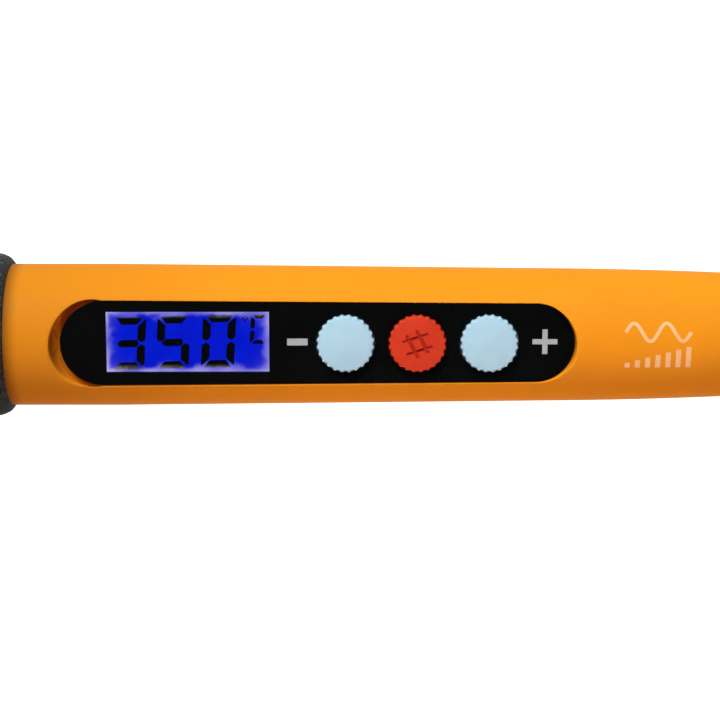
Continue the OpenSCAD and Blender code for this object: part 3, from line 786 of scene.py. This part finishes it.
def build_sleeve():
    lo, hi = box("tip_sleeve")
    rear_r, r, bore_r, front_bore_r, flange_t = 4.6, 4.2, 3.5, 2.75, 0.6
    outline = fillet([(hi.x, bore_r, 0), (hi.x, 6.0, 0.1), (hi.x - flange_t, 6.0, 0.1),
                      (hi.x - flange_t, rear_r, 0.1), (-51.2, rear_r, 0.25), (-51.5, r, 0.25),
                      (lo.x + 2, r, 0.6), (lo.x + 0.6, 3.6, 0.5), (lo.x, 3.3, 0.15),
                      (lo.x, front_bore_r, 0.1), (TIP_SHOULDER_X, front_bore_r, 0),
                      (TIP_SHOULDER_X, bore_r, 0)])
    sleeve = lathe(outline, 128).build("tip_sleeve_visual", smooth=32)
    drills = []
    for x, turn in ((-44.0, 0.0), (-48.5, 22.5)):
        for k in range(8):
            spin = Matrix.Rotation(math.radians(turn + 45 * k), 3, "X")
            drill = post(x, 0, 2.9, 6.5, 1.0, 40)
            drill.verts = [tuple(spin @ Vector((vx, vy, vz))) for vx, vy, vz in drill.verts]
            drills.append(drill)
    carve(sleeve, join(drills).build("cutter"), smooth=32)
    place(sleeve, "barrel", "stainless", "tip_sleeve")


def build_tip():
    lo, hi = box("soldering_tip")
    bore_r, bore_x, collar_r, r, axis_r = 2.15, -80.2, 3.2, 2.6, 0.02
    outline = fillet([(hi.x, bore_r, 0), (hi.x, collar_r, 0.2), (TIP_SHOULDER_X, collar_r, 0.1),
                      (TIP_SHOULDER_X, r, 0.2), (-83.5, r, 0.5), (-84.5, 2.45, 0.5),
                      (lo.x + 0.9, 0.45, 0.3), (lo.x + 0.3, 0.32, 0.3), (lo.x, axis_r, 0),
                      (bore_x, axis_r, 0), (bore_x, bore_r, 0)])
    outline = subdivide(outline, 1.2)
    place(lathe(outline, 96).build("soldering_tip_visual", smooth=32), "barrel", "tip_iron", "soldering_tip")


def build_gland():
    lo, hi = box("cord_gland")
    bore_r = 2.6
    outline = fillet([(lo.x, bore_r, 0), (lo.x, hi.z, 0.2), (ROUND_X, hi.z, 0), (ROUND_X, TAIL_HOLE_R, 0),
                      (TAIL_X, TAIL_HOLE_R, 0), (TAIL_X, 4.9, 0.2), (TAIL_X + 0.7, 4.8, 0.5),
                      (hi.x, 4.2, 0.3), (hi.x, bore_r, 0.35)])
    place(lathe(outline, 128).build("cord_gland_visual", smooth=32), "handle", "black_rubber", "cord_gland")


# ---------------------------------------------------------------- buttons

def build_button(key, slot_name):
    """Domed cap whose side has 24 scallops, on a round flange under the panel."""
    cx, r, dome = BUTTON_X[key], BUTTON_R, BUTTON_DOME
    lo, hi = box("button_" + key)
    notch, rim, n = 0.24, 0.32, 288
    edge = hi.z - dome
    flange = hi.x - cx
    # each station is (radius, height, share of the scallops' depth)
    stations = []
    for k in range(1, 19):
        s = (1 - rim / r) * k / 18
        stations.append((r * s, edge + dome * (1 - s * s), s ** 14))
    for k in range(1, 7):
        a = math.radians(90 * k / 6)
        stations.append((r - rim + rim * math.sin(a), edge + dome * 0.13 - rim * (1 - math.cos(a)), 1.0))
    stations += [(r, z, 1.0) for z in (9.6, 9.0, 8.2, 7.6)]
    stations += [(flange - 0.12, 7.55, 0), (flange, 7.43, 0), (flange, 7.02, 0),
                 (flange - 0.12, lo.z + 0.6, 0), (1.8, lo.z + 0.6, 0), (1.8, lo.z + 0.1, 0),
                 (1.7, lo.z, 0)]
    rows = []
    for q, z, wave in stations:
        row = []
        for i in range(n):
            a = 2 * math.pi * i / n
            rr = q - notch * wave * abs(math.cos(12 * a)) ** 1.5
            row.append((cx + rr * math.cos(a), rr * math.sin(a), z))
        rows.append(row)
    solid = Solid().grid(rows, closed=True)
    top = (cx, 0.0, edge + dome)
    for i in range(n):
        solid.face([top, rows[0][i], rows[0][(i + 1) % n]])
    solid.face(rows[-1])
    cap = solid.build("button_%s_cap" % key, smooth=42)
    if key == "set":
        carve(cap, hash_cutter(cx, edge + dome), smooth=42)
    place(cap, "key_" + key, slot_name, "button_" + key)


def capsule(centre, angle, length, r, z):
    """Rod with round ends, lying at height z."""
    n, steps = 20, 6
    sections = []
    for k in range(steps + 1):
        a = math.radians(90 * k / steps)
        sections.append((-length / 2 - r * math.cos(a), r * math.sin(a)))
    sections += [(-u, q) for u, q in reversed(sections)]
    c, s = math.cos(angle), math.sin(angle)
    rows = []
    for u, q in sections:
        row = []
        for i in range(n):
            b = 2 * math.pi * i / n
            v, w = q * math.cos(b), q * math.sin(b)
            row.append((centre[0] + u * c - v * s, centre[1] + u * s + v * c, z + w))
        rows.append(row)
    return Solid().grid(rows, closed=True)


def hash_cutter(cx, top):
    """Two pairs of crossed strokes, each leaning a little less or more than square to the other."""
    steep, shallow = math.radians(90 + 27), math.radians(18)
    strokes = []
    for angle, gap, length in ((steep, 1.84, 3.9), (shallow, 2.2, 4.0)):
        # the two pairs lie at slightly different heights, so that they cross cleanly
        z = top - 0.03 + (0.006 if angle == steep else 0.0)
        for off in (-gap / 2, gap / 2):
            centre = (cx - off * math.sin(angle), off * math.cos(angle))
            strokes.append(capsule(centre, angle, length, 0.3, z).build("stroke", smooth=60))
    for other in strokes[1:]:
        carve(strokes[0], other, 60, "UNION")
    return strokes[0]


# ---------------------------------------------------------------- display

def seven_segments(width, height, thick, gap):
    """Outlines of the seven segments of a digit, counter-clockwise, round its centre."""
    w, h, t, g = width / 2, height / 2, thick, gap / 2
    v = t * 1.13
    top = [(w - g * 3.4, h), (-w + g * 3.4, h), (-w + t + g * 1.5, h - t), (w - t - g * 1.5, h - t)]
    upper_right = [(w, h - g * 1.6), (w - v, h - v - g * 1.1), (w - v, g + t * 0.42),
                   (w - v * 0.52, g * 0.9), (w, g + t * 0.35)]
    middle = [(w - t * 0.75 - g, 0), (w - t - g, t / 2), (-w + t + g, t / 2), (-w + t * 0.75 + g - 0.25, 0),
              (-w + t + g, -t / 2), (w - t - g, -t / 2)]
    flip_x = [(-x, y) for x, y in reversed(upper_right)]
    flip_y = [(x, -y) for x, y in reversed(upper_right)]
    both = [(-x, -y) for x, y in upper_right]
    bottom = [(x, -y) for x, y in reversed(top)]
    return {"a": top, "b": upper_right, "f": flip_x, "c": flip_y, "e": both, "g": middle, "d": bottom}


def build_display():
    """A three-digit reading, its unit and the degree sign, on top of the display's glass."""
    cx, cy = LCD_C.x, LCD_C.y
    glass_top = box("lcd_glass")[1].z
    low, high = glass_top + 0.004, glass_top + 0.034
    turn, slant = math.radians(1.6), math.tan(math.radians(5.0))
    marks = []

    def put(outline, ox, oy):
        spun = []
        for x, y in fillet([(x, y, 0.16) for x, y in outline], 3):
            u, v = ox + x + y * slant, oy + y
            spun.append((cx + u * math.cos(turn) - v * math.sin(turn),
                         cy + u * math.sin(turn) + v * math.cos(turn)))
        marks.append(prism(spun, low, high))

    digits = seven_segments(5.5, 8.75, 1.2, 0.3)
    for ox, names in ((-9.83, "abgcd"), (-2.46, "afgcd"), (5.08, "abcdef")):
        for name in names:
            put(digits[name], ox, -0.1)
    unit = seven_segments(2.75, 4.85, 0.62, 0.22)
    for name in "afed":
        put(unit[name], 11.8, 1.7)
    place(join(marks).build("display_digits", smooth=30), "handle", "display_glass", finish="segments")

    # the degree sign is a small ring, drawn as a diamond
    outer, inner = 0.54, 0.28
    rows = [[(cx + 9.55 + r * math.cos(a), cy + 3.9 + r * math.sin(a), z)
             for a in (0, math.pi / 2, math.pi, 1.5 * math.pi)]
            for r, z in ((outer, low), (outer, high), (inner, high), (inner, low), (outer, low))]
    degree = Solid().grid(rows, closed=True).build("display_degree", smooth=30)
    place(degree, "handle", "display_glass", finish="segments")


# ---------------------------------------------------------------- printed marks

def build_panel_marks():
    """Plus and minus signs on the panel, beside their buttons."""
    def on_panel(x, y):
        return panel_z(x)

    def sign(name, centre, corners, rounding):
        cx, cy = centre
        outline = [(cx + u, cy + v) for u, v in fillet([(u, v, rounding) for u, v in corners], 3)]
        mark = prism(outline, 0.0, 0.025, on_panel).build(name, smooth=30)
        place(mark, "handle", "panel_black", finish="panel_print")

    minus_x = (LCD_HI.x + BUTTON_X["minus"] - BUTTON_R) / 2 + 0.75
    a, b = 1.7, 0.58
    sign("minus_mark", (minus_x, 0.2), [(a, -b), (a, b), (-a, b), (-a, -b)], 0.08)
    plus_x = BUTTON_X["plus"] + 9.25
    a, b = 2.075, 0.435
    sign("plus_mark", (plus_x, 0.2), [(a, -b), (a, b), (b, b), (b, a), (-b, a), (-b, b), (-a, b), (-a, -b),
                                      (-b, -b), (-b, -a), (b, -a), (b, -b)], 0.06)


def ribbon(path, stroke):
    """Both sides of a band of that width along a path of (x, arc length) points."""
    left, right = [], []
    for i, p in enumerate(path):
        a, b = Vector(path[max(0, i - 1)]), Vector(path[min(len(path) - 1, i + 1)])
        run = (b - a).normalized()
        n = Vector((-run.y, run.x)) * stroke / 2
        left.append((p[0] + n.x, p[1] + n.y))
        right.append((p[0] - n.x, p[1] - n.y))
    return left, right


def bent_band(left, right, low, high):
    """Band between two paths of (x, arc length) points, bent round the handle's tail."""
    def on_tail(points, lift):
        out = []
        for x, arc in points:
            r = handle_radius(x)
            out.append((x, (r + lift) * math.sin(arc / r), (r + lift) * math.cos(arc / r)))
        return out
    rows = [on_tail(left, low), on_tail(left, high), on_tail(right, high), on_tail(right, low)]
    solid = Solid().grid(rows + rows[:1])
    for end in (0, -1):
        solid.face([row[end] for row in rows])
    return solid


def build_tail_marks():
    """Two rows of plain signs: a mains wave, and bars that rise with the heat."""
    x0, length, stroke, bars = 124.6, 10.8, 0.58, 7
    wave = [(x0 + length * k / 120, 2.1 + 1.5 * math.sin(4 * math.pi * k / 120)) for k in range(121)]
    bands = [ribbon(wave, stroke)]
    for k in range(bars):
        x = x0 + 0.35 + k * (length - 0.7) / (bars - 1)
        low, rise = -3.95, 0.9 + 2.7 * k / (bars - 1)
        bands.append([[(x + side * 0.42, low + rise * j / 8) for j in range(9)] for side in (-1, 1)])
    marks = join([bent_band(left, right, -0.02, 0.03) for left, right in bands])
    place(marks.build("tail_marks", smooth=40), "handle", "orange_shell", finish="tail_print")


# ---------------------------------------------------------------- put it together

build_upper_shell()
build_lower_shell()
build_foam()
build_nose_ring()
build_nipple()
build_nut()
build_sleeve()
build_tip()
build_gland()
for key, slot_name in (("minus", "button_blue"), ("set", "button_red"), ("plus", "button_blue")):
    build_button(key, slot_name)
build_display()
build_panel_marks()
build_tail_marks()

for part in frame["record"]["subparts"]:
    node = frame["nodes"][part["node"]]
    node.data.materials.clear()
    node.data.materials.append(MATERIALS[part["material_slot"]])

# ---------------------------------------------------------------- floor, lights and camera

scene = bpy.context.scene
scene.view_settings.view_transform = "Standard"
scene.view_settings.look = "None"

FLOOR_SIZE, FLOOR_Z = 6000, -0.22
floor_mesh = Solid().grid([[(-FLOOR_SIZE, y, 0), (FLOOR_SIZE, y, 0)] for y in (-FLOOR_SIZE, FLOOR_SIZE)])
floor = floor_mesh.build("floor", weld=False)
floor.location.z = FLOOR_Z
paper = plastic("paper", color(0.93, 0.93, 0.93), color(0.92, 0.92, 0.925), 0.9, 4.0, 0.02, 300.0,
                **{"Specular IOR Level": 0.0, "Emission Color": color(1, 1, 1), "Emission Strength": 0.4})
floor.data.materials.append(paper)
# no light bounces up from the floor, so that the handle's sides darken towards its edges
floor.visible_diffuse = False

world = bpy.data.worlds.new("studio")
scene.world = world
world.use_nodes = True
background = world.node_tree.nodes["Background"]
background.inputs["Color"].default_value = color(1, 1, 1)
background.inputs["Strength"].default_value = 0.08


def softbox(name, at, aim, size, power, tint, spread=180):
    data = bpy.data.lights.new(name, "AREA")
    data.shape, data.size, data.size_y = "RECTANGLE", size[0], size[1]
    data.energy, data.color, data.spread = power, tint, math.radians(spread)
    light = bpy.data.objects.new(name, data)
    light.location = at
    light.rotation_euler = (Vector(aim) - Vector(at)).to_track_quat("-Z", "Y").to_euler()
    scene.collection.objects.link(light)


MIDDLE = Vector((0.0808, 0, 0))
softbox("key", (-0.18, 0.96, 0.67), MIDDLE, (0.9, 0.6), 24.0, (0.93, 1.08, 0.97))
softbox("fill", (0.2, -0.55, 0.35), MIDDLE, (0.5, 0.3), 1.6, (1.1, 0.97, 0.85))
softbox("rim", (0.09, -0.34, 0.2), (0.085, 0, 0), (0.14, 0.1), 0.021, (1, 0.84, 0.68), 24)

CAMERA_TILT, CAMERA_DISTANCE, CAMERA_DROP = math.radians(10), 0.350, 0.00437
towards = Vector((0, math.sin(CAMERA_TILT), math.cos(CAMERA_TILT)))
up = Vector((0, math.cos(CAMERA_TILT), -math.sin(CAMERA_TILT)))
camera_data = bpy.data.cameras.new("camera")
camera_data.sensor_width, camera_data.lens = 36, 102.94
camera_data.clip_start, camera_data.clip_end = 0.01, 20
camera = bpy.data.objects.new("camera", camera_data)
camera.location = MIDDLE + CAMERA_DISTANCE * towards - CAMERA_DROP * up
camera.rotation_euler = (-CAMERA_TILT, 0, 0)
scene.collection.objects.link(camera)
scene.camera = camera
